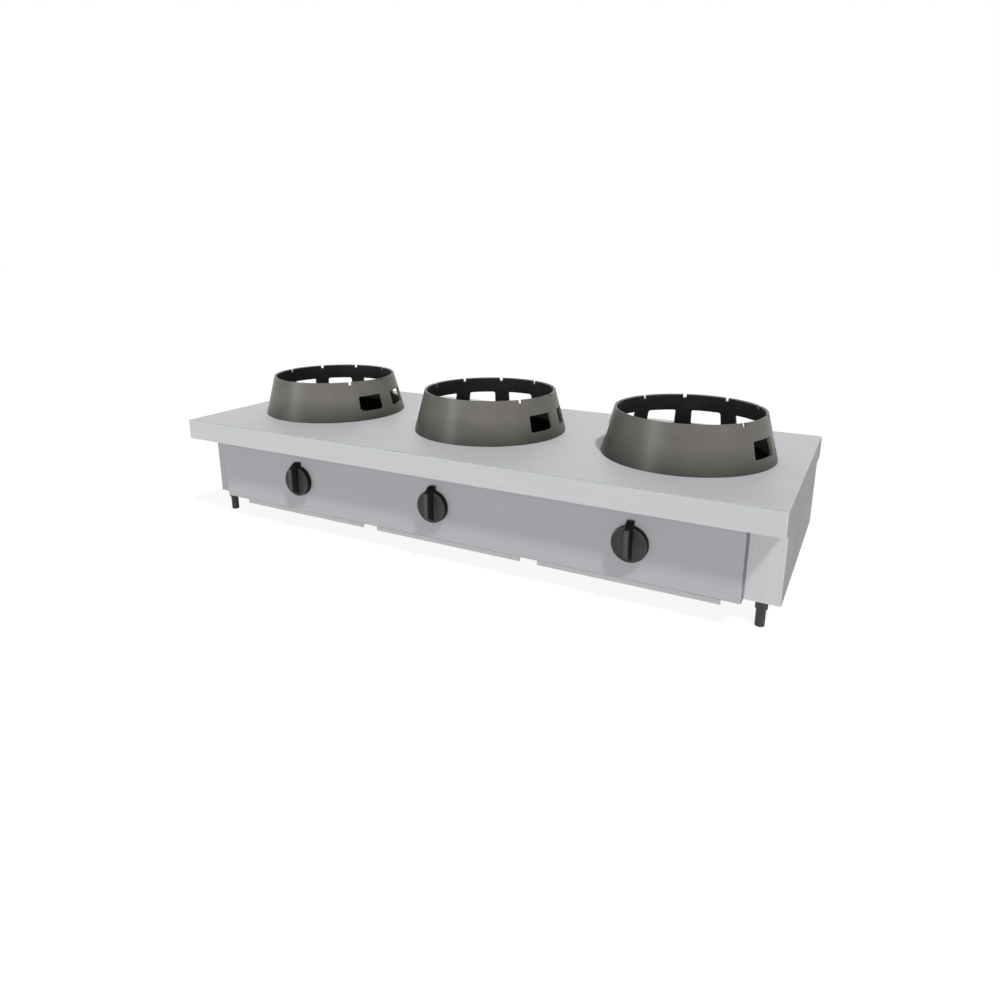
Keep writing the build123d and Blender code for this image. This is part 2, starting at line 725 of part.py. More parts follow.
# Inlet pipe to the rear, with a hex and the male thread of the connection
hex_start = rear_face + inlet_step
thread_start = hex_start + inlet_grip
pipe_start = elbow_back[1] - elbow_socket
inlet_plane = Plane(origin=(inlet_place, pipe_start, manifold_height), x_dir=(-1, 0, 0), z_dir=(0, 1, 0))
with BuildPart() as inlet:
    with BuildSketch(inlet_plane):
        Circle(pipe_radius)
    extrude(amount=hex_start - pipe_start)
    hex_prism(inlet_plane.offset(hex_start - pipe_start), pipe_radius + inlet_hex, inlet_grip)
    with BuildSketch(inlet_plane.offset(thread_start - pipe_start)):
        Circle(thread_radius)
    extrude(amount=thread_length)
    with BuildSketch(inlet_plane):
        Circle(thread_radius - inlet_wall)
    extrude(amount=thread_start + thread_length - pipe_start, mode=Mode.SUBTRACT)
inlet.part.label = "gas_inlet_pipe"
export_step(inlet.part, "parts/gas_inlet_pipe.step")

# Brackets that hang the manifold from the front rail
rail_front = -rail_place - rail_width / 2
bracket_half = pipe_radius + bracket_edge
with BuildPart() as brackets:
    for x in (-bracket_place, bracket_place):
        with BuildSketch(Plane.YZ.offset(x - bracket_sheet / 2)):
            with BuildLine():
                Polyline(
                    (rail_front, rail_top),
                    (rail_front, rail_low),
                    (2 * pipe_radius - manifold_place, manifold_height - bracket_half),
                    (-manifold_place - bracket_half, manifold_height - bracket_half),
                    (-manifold_place - bracket_half, manifold_height + bracket_half),
                    (pipe_radius - manifold_place, manifold_height + bracket_half),
                    close=True,
                )
            make_face()
            with Locations((-manifold_place, manifold_height)):
                Circle(pipe_radius + fit / 2, mode=Mode.SUBTRACT)
        extrude(amount=bracket_sheet)
brackets.part.label = "manifold_brackets"
export_step(brackets.part, "parts/manifold_brackets.step")

# Gas tubes from the valves' outlets up to the injector holders. The cross run lies two
# thirds of the way up, which leaves room for two bends below it and one above.
cross_height = knob_height + (holder_low - knob_height) * 2 / 3
for number, (x, knob_x) in enumerate(zip(ring_places, knob_places), 1):
    outlet = knob_x - outlet_reach
    turn = outlet - 2 * tube_bend - tube_radius
    y = -manifold_place
    with BuildPart() as gas_tube:
        with BuildLine() as route:
            FilletPolyline(
                (outlet, y, knob_height),
                (turn, y, knob_height),
                (turn, y, cross_height),
                (x, y, cross_height),
                (x, y, holder_low),
                radius=tube_bend,
            )
        with BuildSketch(Plane(origin=(outlet, y, knob_height), x_dir=(0, 1, 0), z_dir=(-1, 0, 0))):
            Circle(tube_radius)
        sweep(path=route.line)
    gas_tube.part.label = f"gas_tube_{number}"
    export_step(gas_tube.part, f"parts/gas_tube_{number}.step")

# Pilot burners: a bracket on the front lug with the pilot's hood and the probe's hole
pilot_top = crown_seat + crown_height - pilot_drop
pilot_out = crown_radius + pilot_gap + pilot_radius
pilot_across = pilot_out * math.cos(math.radians(pilot_angle))
pilot_front = pilot_out * math.sin(math.radians(pilot_angle))
probe_out = crown_radius + probe_gap
probe_across = probe_out * math.cos(math.radians(probe_angle))
probe_front = probe_out * math.sin(math.radians(probe_angle))
plate_foot = (lug_half - pilot_end, -rail_place)
for number, x in enumerate(ring_places, 1):
    plate = Plane(origin=(x, 0, lug_top))
    with BuildPart() as pilot:
        with BuildSketch(plate):
            with Locations(plate_foot, (probe_across, -probe_front)):
                Circle(pilot_end)
            make_hull()
            with Locations((pilot_across, -pilot_front)):
                Circle(pilot_radius + pilot_plate)
            with Locations((probe_across, -probe_front)):
                Circle(probe_radius + fit, mode=Mode.SUBTRACT)
        extrude(amount=pilot_plate)
        with BuildSketch(plate):
            with Locations((pilot_across, -pilot_front)):
                Circle(pilot_radius)
        extrude(amount=pilot_top - lug_top)
        with BuildSketch(Plane(origin=(x, 0, pilot_top - hood_depth))):
            with Locations(Location((pilot_across, -pilot_front, 0), 180 - pilot_angle)):
                with Locations((pilot_radius, 0)):
                    Rectangle(pilot_radius, pilot_radius)
        extrude(amount=hood_height, mode=Mode.SUBTRACT)
    pilot.part.label = f"pilot_burner_{number}"
    export_step(pilot.part, f"parts/pilot_burner_{number}.step")

# Pilot tubes from the right of each valve body to the foot of its pilot
with BuildPart() as pilot_tubes:
    for x, knob_x in zip(ring_places, knob_places):
        start = (knob_x + outlet_reach, -manifold_place, knob_height)
        turn = start[0] + outlet_reach
        with BuildLine() as route:
            FilletPolyline(
                start,
                (turn, -manifold_place, knob_height),
                (turn, -pilot_front, knob_height),
                (x + pilot_across, -pilot_front, knob_height),
                (x + pilot_across, -pilot_front, lug_top),
                radius=wire_bend,
            )
        with BuildSketch(Plane(origin=start, x_dir=(0, 1, 0), z_dir=(1, 0, 0))):
            Circle(pilot_tube_radius)
        sweep(path=route.line)
pilot_tubes.part.label = "pilot_tubes"
export_step(pilot_tubes.part, "parts/pilot_tubes.step")

# Thermocouples from the flame-failure housings to a tip beside each pilot
with BuildPart() as thermocouples:
    for x, knob_x in zip(ring_places, knob_places):
        start = (knob_x, -housing_end, housing_height)
        with BuildLine() as route:
            FilletPolyline(
                start,
                (knob_x, -probe_front, housing_height),
                (x + probe_across, -probe_front, housing_height),
                (x + probe_across, -probe_front, pilot_top - probe_drop),
                radius=wire_bend,
            )
        with BuildSketch(Plane(origin=start, x_dir=(-1, 0, 0), z_dir=(0, 1, 0))):
            Circle(probe_radius)
        sweep(path=route.line)
thermocouples.part.label = "thermocouples"
export_step(thermocouples.part, "parts/thermocouples.step")

# Wok rings: cones of cast iron with seven windows and ten notches in the rim
for number, x in enumerate(ring_places, 1):
    profile = Plane(origin=(x, 0, top_height), x_dir=(1, 0, 0), z_dir=(0, -1, 0))
    with BuildPart() as ring:
        with BuildSketch(profile):
            with BuildLine():
                Polyline(
                    (ring_base / 2 - ring_wall, 0),
                    (ring_base / 2, 0),
                    (ring_rim / 2, ring_height),
                    (ring_rim / 2 - ring_wall, ring_height),
                    close=True,
                )
            make_face()
        revolve(axis=Axis((x, 0, 0), (0, 0, 1)))
        step = 360 / ring_steps
        middle = (window_low + window_high) / 2
        first = -90 + step * (solid_steps + 1) / 2
        for i in range(ring_steps - solid_steps):
            out = Vector(1, 0, 0).rotate(Axis.Z, first + i * step)
            across = Vector(0, 1, 0).rotate(Axis.Z, first + i * step)
            with BuildSketch(Plane(origin=(x, 0, top_height + middle), x_dir=across, z_dir=out)):
                RectangleRounded(window_width, window_high - window_low, window_round)
            extrude(amount=ring_base / 2 + ring_wall, mode=Mode.SUBTRACT)
        for i in range(ring_steps):
            out = Vector(1, 0, 0).rotate(Axis.Z, i * step)
            across = Vector(0, 1, 0).rotate(Axis.Z, i * step)
            with BuildSketch(Plane(origin=(x, 0, top_height + ring_height), x_dir=across, z_dir=out)):
                Rectangle(notch_width, 2 * notch_depth)
            extrude(amount=ring_base / 2, mode=Mode.SUBTRACT)
    ring.part.label = f"wok_ring_{number}"
    export_step(ring.part, f"parts/wok_ring_{number}.step")

# Levelling feet: a round pad, a hex collar under the side panel and a stud through it
feet = {
    "front_left": (foot_side - half, foot_front - depth / 2),
    "front_right": (half - foot_side, foot_front - depth / 2),
    "rear_left": (foot_side - half, depth / 2 - foot_rear),
    "rear_right": (half - foot_side, depth / 2 - foot_rear),
}
for name, (x, y) in feet.items():
    with BuildPart() as foot:
        with BuildSketch(Plane(origin=(x, y, 0))):
            Circle(foot_radius)
        extrude(amount=body_bottom - foot_collar)
        chamfer(foot.edges().filter_by(GeomType.CIRCLE).sort_by(Axis.Z)[0], foot_edge)
        hex_prism(Plane(origin=(x, y, body_bottom - foot_collar)), foot_hex, foot_collar)
        with BuildSketch(Plane(origin=(x, y, body_bottom))):
            Circle(stud_radius)
        extrude(amount=stud_reach)
    foot.part.label = f"foot_{name}"
    export_step(foot.part, f"parts/foot_{name}.step")

with BuildPart() as foot_nuts:
    for x, y in feet.values():
        hex_prism(Plane(origin=(x, y, body_bottom + sheet)), nut_across / math.sqrt(3), nut_height)
        with BuildSketch(Plane(origin=(x, y, body_bottom + sheet))):
            Circle(stud_radius + fit)
        extrude(amount=nut_height, mode=Mode.SUBTRACT)
foot_nuts.part.label = "foot_nuts"
export_step(foot_nuts.part, "parts/foot_nuts.step")

# Screws of the control panel, put in from behind the side flanges
with BuildPart() as panel_screws:
    for side in (-1, 1):
        for z in screw_heights:
            origin = (side * screw_across, flange_face + sheet, z)
            back = Plane(origin=origin, x_dir=(1, 0, 0), z_dir=(0, -1, 0))
            hex_prism(back, screw_hex, -screw_head)
            with BuildSketch(back):
                Circle(screw_radius)
            extrude(amount=sheet + screw_length)
panel_screws.part.label = "panel_screws"
export_step(panel_screws.part, "parts/panel_screws.step")

# Bolts that hold the burner bodies on the rails
with BuildPart() as burner_bolts:
    for x in ring_places:
        for across, y in ((-bolt_spread, -rail_place), (bolt_spread, -rail_place), (0, rail_place)):
            lug = Plane(origin=(x + across, y, lug_top))
            hex_prism(lug, bolt_hex, bolt_head)
            with BuildSketch(lug):
                Circle(bolt_radius)
            extrude(amount=-lug_thick - rail_wall - bolt_reach)
burner_bolts.part.label = "burner_bolts"
export_step(burner_bolts.part, "parts/burner_bolts.step")
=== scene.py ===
import math

import bmesh
import bpy
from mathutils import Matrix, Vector


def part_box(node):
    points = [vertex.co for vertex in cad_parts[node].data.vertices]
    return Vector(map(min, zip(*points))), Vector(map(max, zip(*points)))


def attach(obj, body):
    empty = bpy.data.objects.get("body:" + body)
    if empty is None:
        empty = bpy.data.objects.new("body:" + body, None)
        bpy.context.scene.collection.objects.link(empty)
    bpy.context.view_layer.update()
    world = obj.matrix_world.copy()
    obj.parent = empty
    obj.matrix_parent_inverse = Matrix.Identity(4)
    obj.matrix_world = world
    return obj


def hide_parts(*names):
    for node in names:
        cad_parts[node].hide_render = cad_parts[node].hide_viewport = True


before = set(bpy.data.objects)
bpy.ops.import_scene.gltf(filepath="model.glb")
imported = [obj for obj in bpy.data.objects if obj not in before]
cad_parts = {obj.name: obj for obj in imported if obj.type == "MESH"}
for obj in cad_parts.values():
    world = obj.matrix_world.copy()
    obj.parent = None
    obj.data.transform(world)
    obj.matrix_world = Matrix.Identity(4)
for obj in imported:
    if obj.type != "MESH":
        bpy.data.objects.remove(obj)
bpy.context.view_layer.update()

mm = 0.001
scene = bpy.context.scene
burners = ("1", "2", "3")
noiseSpan = (0.3, 0.7)  # most of a noise lies between these
softNoise, mixedNoise, fineNoise = 2, 3, 5  # how much fine detail a noise has
colourA, colourB, colourOut = 6, 7, 2  # a Mix node's sockets for colours
squarely = 0.7  # over this share of its normal a face counts as looking along an axis


# colours and nodes

def hexColour(text):
    # sRGB hex to linear RGBA
    parts = [int(text[i:i + 2], 16) / 255 for i in (1, 3, 5)]
    linear = [c / 12.92 if c <= 0.04045 else ((c + 0.055) / 1.055) ** 2.4 for c in parts]
    return (*linear, 1)


def addNode(tree, kind, settings=None, links=None):
    # settings go to the sockets of that name or number, else to the node itself
    node = tree.nodes.new(kind)
    for key, value in (settings or {}).items():
        if isinstance(key, int) or key in node.inputs:
            node.inputs[key].default_value = value
        else:
            setattr(node, key, value)
    for key, source in (links or {}).items():
        tree.links.new(source, node.inputs[key])
    return node


def newMaterial(name, look):
    material = bpy.data.materials.new(name)
    material.use_nodes = True
    tree = material.node_tree
    shader = tree.nodes["Principled BSDF"]
    shader.inputs["Base Color"].default_value = hexColour(look["light"])
    shader.inputs["Roughness"].default_value = sum(look["roughness"]) / 2
    shader.inputs["Metallic"].default_value = look.get("metallic", 0)
    shader.inputs["Specular IOR Level"].default_value = look.get("gloss", 0.5)
    return material, tree, shader


def patternOn(tree, size, detail, squeeze=(1, 1, 1)):
    # noise whose grains are about size metres; a squeeze below 1 stretches them along that axis
    place = addNode(tree, "ShaderNodeTexCoord")
    mapping = addNode(tree, "ShaderNodeMapping", {"Scale": squeeze}, {"Vector": place.outputs["Object"]})
    noise = addNode(tree, "ShaderNodeTexNoise", {"Scale": 1 / size, "Detail": detail},
                    {"Vector": mapping.outputs["Vector"]})
    return noise.outputs["Fac"]


def tint(tree, shader, pattern, look):
    # the pattern runs from the dark colour to the light one
    ramp = addNode(tree, "ShaderNodeValToRGB", None, {"Fac": pattern})
    dark, light = ramp.color_ramp.elements
    dark.position, light.position = look.get("span", noiseSpan)
    dark.color = hexColour(look["dark"])
    light.color = hexColour(look["light"])
    tree.links.new(ramp.outputs["Color"], shader.inputs["Base Color"])


def vary(tree, shader, pattern, look):
    # the pattern runs from the low roughness to the high one
    fromLow, fromHigh = noiseSpan
    low, high = look["roughness"]
    spread = addNode(tree, "ShaderNodeMapRange",
                     {"From Min": fromLow, "From Max": fromHigh, "To Min": low, "To Max": high},
                     {"Value": pattern})
    tree.links.new(spread.outputs["Result"], shader.inputs["Roughness"])


def roughen(tree, shader, pattern, height, strength):
    bump = addNode(tree, "ShaderNodeBump", {"Strength": strength, "Distance": height}, {"Height": pattern})
    tree.links.new(bump.outputs["Normal"], shader.inputs["Normal"])


def normalParts(tree):
    # the X, Y and Z of the way a face looks
    geometry = addNode(tree, "ShaderNodeNewGeometry")
    return addNode(tree, "ShaderNodeSeparateXYZ", None, {"Vector": geometry.outputs["Normal"]}).outputs


def placeParts(tree):
    # the X, Y and Z of a point on the object
    place = addNode(tree, "ShaderNodeTexCoord")
    return addNode(tree, "ShaderNodeSeparateXYZ", None, {"Vector": place.outputs["Object"]}).outputs


def facesAlong(tree, axis):
    # 1 on the faces that look along the axis, either way
    size = addNode(tree, "ShaderNodeMath", {"operation": "ABSOLUTE"}, {0: normalParts(tree)[axis]})
    chosen = addNode(tree, "ShaderNodeMath", {"operation": "GREATER_THAN", 1: squarely}, {0: size.outputs[0]})
    return chosen.outputs[0]


def darken(tree, shader, where, tone):
    # multiplies the colour by the tone, where the mask is 1
    own = shader.inputs["Base Color"].links[0].from_socket
    toned = addNode(tree, "ShaderNodeMix",
                    {"data_type": "RGBA", "blend_type": "MULTIPLY", colourB: hexColour(tone)},
                    {"Factor": where, colourA: own})
    tree.links.new(toned.outputs[colourOut], shader.inputs["Base Color"])


def cover(tree, shader, unshaded, colour):
    # painted shade of this colour lies over the material, except where the mask is 1
    own = shader.inputs["Base Color"].links[0].from_socket
    covered = addNode(tree, "ShaderNodeMix", {"data_type": "RGBA", colourA: hexColour(colour)},
                      {"Factor": unshaded, colourB: own})
    tree.links.new(covered.outputs[colourOut], shader.inputs["Base Color"])


def dull(tree, shader, unshaded, roughness):
    # the painted shade has no shine
    own = shader.inputs["Roughness"].links[0].from_socket
    dulled = addNode(tree, "ShaderNodeMix", {"A": roughness}, {"Factor": unshaded, "B": own})
    tree.links.new(dulled.outputs["Result"], shader.inputs["Roughness"])


# brushed stainless sheet: pale satin with fine lines one way, which soften every reflection. The
# real lines are about 0.1 mm apart and are drawn wider so that they show. The faces that look along X
# are darkened with painted shade, and so is the fold between the top and the front, which takes out
# its highlight. The panel's look is a darker copy, painted shade for where it stands under the worktop.

sheetLook = {"dark": "#bec0c2", "light": "#c7c9cb", "ends": "#c1c1c1", "foldShade": "#dadada",
             "lineWidth": 1.3 * mm, "lineLength": 110 * mm, "lineHeight": 0.012 * mm, "lineStrength": 0.4,
             "handled": 90 * mm, "roughness": (0.5, 0.58), "metallic": 0.08, "gloss": 0.18}
# painted shade: a darker copy of the sheet, for the control panel and the left end under the worktop
panelShadeLook = {**sheetLook, "dark": "#abacaf", "light": "#b2b3b6", "ends": "#d4d4d4"}
# painted shade: the worktop inside each ring and the rear panel's front, seen dark through the ring windows
ringShadeLook = {"pitch": 0.498, "clear": 0.186, "shadedTo": 0.181, "colour": "#282622", "roughness": 1.0}
rearShadeLook = {"colour": "#23211e", "roughness": 1.0}
foldMiddle = -0.45  # Y times Z of a normal about halfway between forwards and up


def onFrontFold(tree):
    # 1 in the middle of a fold between a top and a front, 0 on flat faces
    normal = normalParts(tree)
    both = addNode(tree, "ShaderNodeMath", {"operation": "MULTIPLY"}, {0: normal["Y"], 1: normal["Z"]})
    foldShade = addNode(tree, "ShaderNodeMapRange", {"From Min": 0, "From Max": foldMiddle},
                   {"Value": both.outputs[0]})
    return foldShade.outputs["Result"]


def shadeInsideRings(tree, shader, look=ringShadeLook):
    # inside each wok ring the sheet is darkened with painted shade as far as the inner radius, fading
    # out by the outer one; the rings stand one pitch apart
    place = placeParts(tree)
    half = look["pitch"] / 2
    fromRing = addNode(tree, "ShaderNodeMath", {"operation": "WRAP", 1: half, 2: -half}, {0: place["X"]})
    flat = addNode(tree, "ShaderNodeCombineXYZ", None, {"X": fromRing.outputs[0], "Y": place["Y"]})
    away = addNode(tree, "ShaderNodeVectorMath", {"operation": "LENGTH"}, {0: flat.outputs["Vector"]})
    clear = addNode(tree, "ShaderNodeMapRange", {"From Min": look["shadedTo"], "From Max": look["clear"]},
                    {"Value": away.outputs["Value"]})
    cover(tree, shader, clear.outputs["Result"], look["colour"])
    dull(tree, shader, clear.outputs["Result"], look["roughness"])


def shadeOnRearFront(tree, shader, look=rearShadeLook):
    # painted shade darkens the side of the rear panel that looks forwards, to the burners, seen through the
    # ring windows
    unshaded = addNode(tree, "ShaderNodeMath", {"operation": "GREATER_THAN", 1: -squarely},
                    {0: normalParts(tree)["Y"]})
    cover(tree, shader, unshaded.outputs[0], look["colour"])
    dull(tree, shader, unshaded.outputs[0], look["roughness"])


def brushedSteel(name, grainAxis, endAxis, look=sheetLook, sootAndShade=None):
    # faces folded across the grain (those that look along grainAxis) take their lines along endAxis
    material, tree, shader = newMaterial(name, look)
    stretch = look["lineWidth"] / look["lineLength"]
    along, across = [
        patternOn(tree, look["lineWidth"], mixedNoise, [stretch if a == axis else 1 for a in "XYZ"])
        for axis in (grainAxis, endAxis)
    ]
    lines = addNode(tree, "ShaderNodeMix", None,
                    {"Factor": facesAlong(tree, grainAxis), "A": along, "B": across})
    tint(tree, shader, lines.outputs["Result"], look)
    # painted shade: the faces that look along X are darkened
    darken(tree, shader, facesAlong(tree, "X"), look["ends"])
    # painted shade along the fold between the top and the front, which takes out its highlight
    darken(tree, shader, onFrontFold(tree), look["foldShade"])
    handled = patternOn(tree, look["handled"], softNoise)  # where hands and cloths have dulled it
    vary(tree, shader, handled, look)
    roughen(tree, shader, lines.outputs["Result"], look["lineHeight"], look["lineStrength"])
    if sootAndShade:
        sootAndShade(tree, shader)
    return material


# sand-cast iron under heat-proof paint: warm charcoal with a fine sandy skin, a soft sheen and a
# darker foot, painted shade where the ring stands on the worktop; it thins out between the two
# heights of the foot.

ironLook = {"dark": "#5d5b55", "light": "#66645e", "footShade": "#312f2b", "foot": (0.262, 0.33),
            "patch": 60 * mm, "grit": 1.3 * mm, "gritHeight": 0.07 * mm, "gritStrength": 0.5,
            "roughness": (0.32, 0.38), "gloss": 0.15}


def paintedIron(name, look):
    material, tree, shader = newMaterial(name, look)
    patches = patternOn(tree, look["patch"], mixedNoise)
    tint(tree, shader, patches, look)
    low, high = look["foot"]
    unshaded = addNode(tree, "ShaderNodeMapRange", {"From Min": low, "From Max": high},
                    {"Value": placeParts(tree)["Z"]})
    # painted shade at the ring's foot
    cover(tree, shader, unshaded.outputs["Result"], look["footShade"])
    vary(tree, shader, patches, look)
    grit = patternOn(tree, look["grit"], fineNoise)
    roughen(tree, shader, grit, look["gritHeight"], look["gritStrength"])
    return material


# bare sand-cast iron in the flame's way: sooty, dull and grainy

ringSootLook = {"dark": "#1b1a19", "light": "#262523", "sootAndShade": 35 * mm, "grit": 1.8 * mm,
                "gritHeight": 0.1 * mm, "gritStrength": 0.6, "roughness": (0.62, 0.8), "gloss": 0.25}
burnerLook = {**ringSootLook, "dark": "#2e2d2b", "light": "#3f3d3a", "grit": 2.2 * mm,
              "gritHeight": 0.16 * mm}


def castIron(name, look):
    material, tree, shader = newMaterial(name, look)
    sootAndShade = patternOn(tree, look["sootAndShade"], fineNoise)
    tint(tree, shader, sootAndShade, look)
    vary(tree, shader, sootAndShade, look)
    grit = patternOn(tree, look["grit"], fineNoise)
    roughen(tree, shader, grit, look["gritHeight"], look["gritStrength"])
    return material


# turned brass: yellow metal with faint rings from the lathe tool
brassLook = {"dark": "#a9803f", "light": "#cfab66", "marks": 3 * mm, "noise": softNoise,
             "squeeze": (1, 12, 1), "roughness": (0.24, 0.4), "metallic": 1}
# zinc-plated steel: pale, slightly blue and cloudy, with a low shine
zincLook = {"dark": "#8f9498", "light": "#b6babd", "marks": 14 * mm, "noise": mixedNoise,
            "roughness": (0.3, 0.46), "metallic": 0.9}
# black-lacquered gas pipe: dark and smooth, with rubbed patches
pipeLook = {"dark": "#2c2d2e", "light": "#474849", "marks": 30 * mm, "noise": fineNoise, "span": (0.4, 0.75),
            "roughness": (0.36, 0.55), "metallic": 0.3}
# drawn aluminium tube: bright and even, with faint drawing marks
tubeLook = {"dark": "#a2a5a7", "light": "#c4c6c7", "marks": 4 * mm, "noise": softNoise,
            "roughness": (0.26, 0.4), "metallic": 1}


def smallMetal(name, look):
    material, tree, shader = newMaterial(name, look)
    marks = patternOn(tree, look["marks"], look["noise"], look.get("squeeze", (1, 1, 1)))
    tint(tree, shader, marks, look)
    vary(tree, shader, marks, look)
    return material


# phenolic moulding: near black, with a fine spark-eroded grain that breaks up its sheen. The black
# powder coat on the feet has much the same grain.

faceLook = {"dark": "#2e2f31", "light": "#383a3c", "grain": 0.8 * mm, "grainHeight": 0.02 * mm,
            "grainStrength": 0.4, "roughness": (0.45, 0.55), "gloss": 0.3}
gripLook = {**faceLook, "dark": "#3e3e3b", "light": "#474744", "roughness": (0.37, 0.47)}  # rubbed by fingers
# painted shade: a near-black copy of the moulding for every knob face that does not look forwards
knobShadeLook = {**faceLook, "dark": "#0e0e10", "light": "#151517", "gloss": 0.2}
footLook = {**faceLook, "dark": "#2b2c2e", "light": "#3a3b3d", "roughness": (0.43, 0.53)}


def grainedBlack(name, look):
    material, tree, shader = newMaterial(name, look)
    grain = patternOn(tree, look["grain"], softNoise)
    tint(tree, shader, grain, look)
    vary(tree, shader, grain, look)
    roughen(tree, shader, grain, look["grainHeight"], look["grainStrength"])
    return material


steelAlong = brushedSteel("brushedSteelAlong", "X", "Y")
steelTop = brushedSteel("brushedSteelTop", "X", "Y", sootAndShade=shadeInsideRings)
steelRear = brushedSteel("brushedSteelRear", "X", "Y", sootAndShade=shadeOnRearFront)
steelUpright = brushedSteel("brushedSteelUpright", "Z", "X")
# painted shade: the left end and the control panel take the darker copy of the sheet
steelShaded = brushedSteel("sideSteelPaintedShade", "Z", "X", panelShadeLook)  # the left end, dull as the panel
panelSteel = brushedSteel("panelSteelPaintedShade", "X", "Z", panelShadeLook)
ringIron = paintedIron("paintedCastIron", ironLook)
ringSoot = castIron("sootedRingIron", ringSootLook)
burnerIron = castIron("burnerCastIron", burnerLook)
brass = smallMetal("turnedBrass", brassLook)
zinc = smallMetal("zincPlatedSteel", zincLook)
pipeBlack = smallMetal("lacqueredPipe", pipeLook)
tubeMetal = smallMetal("drawnAluminium", tubeLook)
knobFace = grainedBlack("phenolicFace", faceLook)
knobGrip = grainedBlack("phenolicGrip", gripLook)
knobShade = grainedBlack("phenolicPaintedShade", knobShadeLook)
footBlack = grainedBlack("powderCoatedSteel", footLook)
print("materials made")


# which finish each CAD node gets: the longest of these names that the node's own name starts with

finishes = {
    "worktop": steelTop, "control_panel": panelSteel, "rear_panel": steelRear, "side_panel": steelUpright,
    "side_panel_left": steelShaded, "drip_tray": steelAlong, "tray_runner": zinc, "burner_rail": zinc,
    "burner_body": burnerIron, "burner_head": burnerIron, "burner_bolts": zinc, "wok_ring": ringIron,
    "gas_valve": brass, "injector_holder": brass, "valve_spindle": zinc, "spindle_collar": zinc,
    "gas_manifold": pipeBlack, "manifold_cap": pipeBlack, "manifold_sockets": pipeBlack,
    "manifold_brackets": zinc, "inlet_elbow": pipeBlack, "gas_inlet_pipe": pipeBlack, "gas_tube": tubeMetal,
    "pilot_tubes": tubeMetal, "thermocouples": tubeMetal, "pilot_burner": zinc, "panel_screws": zinc,
    "knob": knobFace, "foot": footBlack, "foot_nuts": zinc,
}
for nodeName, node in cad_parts.items():
    family = max((key for key in finishes if nodeName.startswith(key)), key=len)
    node.data.materials.clear()
    node.data.materials.append(finishes[family])
print("CAD nodes finished")


# mesh helpers

meshRules = {"mergeDistance": 1e-6, "levelTolerance": 1e-5, "sharpFrom": 35, "bevelFrom": 40,
             "bevelSegments": 3}


def mergeDoubles(bm):
    bmesh.ops.remove_doubles(bm, verts=bm.verts, dist=meshRules["mergeDistance"])


def keepPiece(name, bm, materials, body, replaced):
    mergeDoubles(bm)
    mesh = bpy.data.meshes.new(name)
    bm.to_mesh(mesh)
    bm.free()
    for polygon in mesh.polygons:
        polygon.use_smooth = True
    mesh.set_sharp_from_angle(angle=math.radians(meshRules["sharpFrom"]))
    for material in materials:
        mesh.materials.append(material)
    piece = bpy.data.objects.new(name, mesh)
    scene.collection.objects.link(piece)
    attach(piece, body)
    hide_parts(replaced)
    return piece


def profileEdges(bm, points):
    verts = [bm.verts.new(point) for point in points]
    return verts + [bm.edges.new(pair) for pair in zip(verts, verts[1:])]


def softenEdges(piece, width):
    edge = piece.modifiers.new("edgeRound", "BEVEL")
    edge.width = width
    edge.segments = meshRules["bevelSegments"]
    edge.limit_method = "ANGLE"
    edge.angle_limit = math.radians(meshRules["bevelFrom"])
    edge.harden_normals = True


# wok rings

wokRing = {"wall": 6 * mm, "rimRadius": 163 * mm, "windowLow": 24 * mm, "windowHigh": 62 * mm,
           "windowWidth": 72 * mm, "windowRound": 5 * mm, "notchWidth": 8 * mm, "notchDepth": 8 * mm,
           "places": 10, "closedPlaces": 3, "edge": 1.0 * mm,
           "notchSteps": 1, "postSteps": 3, "windowSteps": 8, "roundSegments": 4}


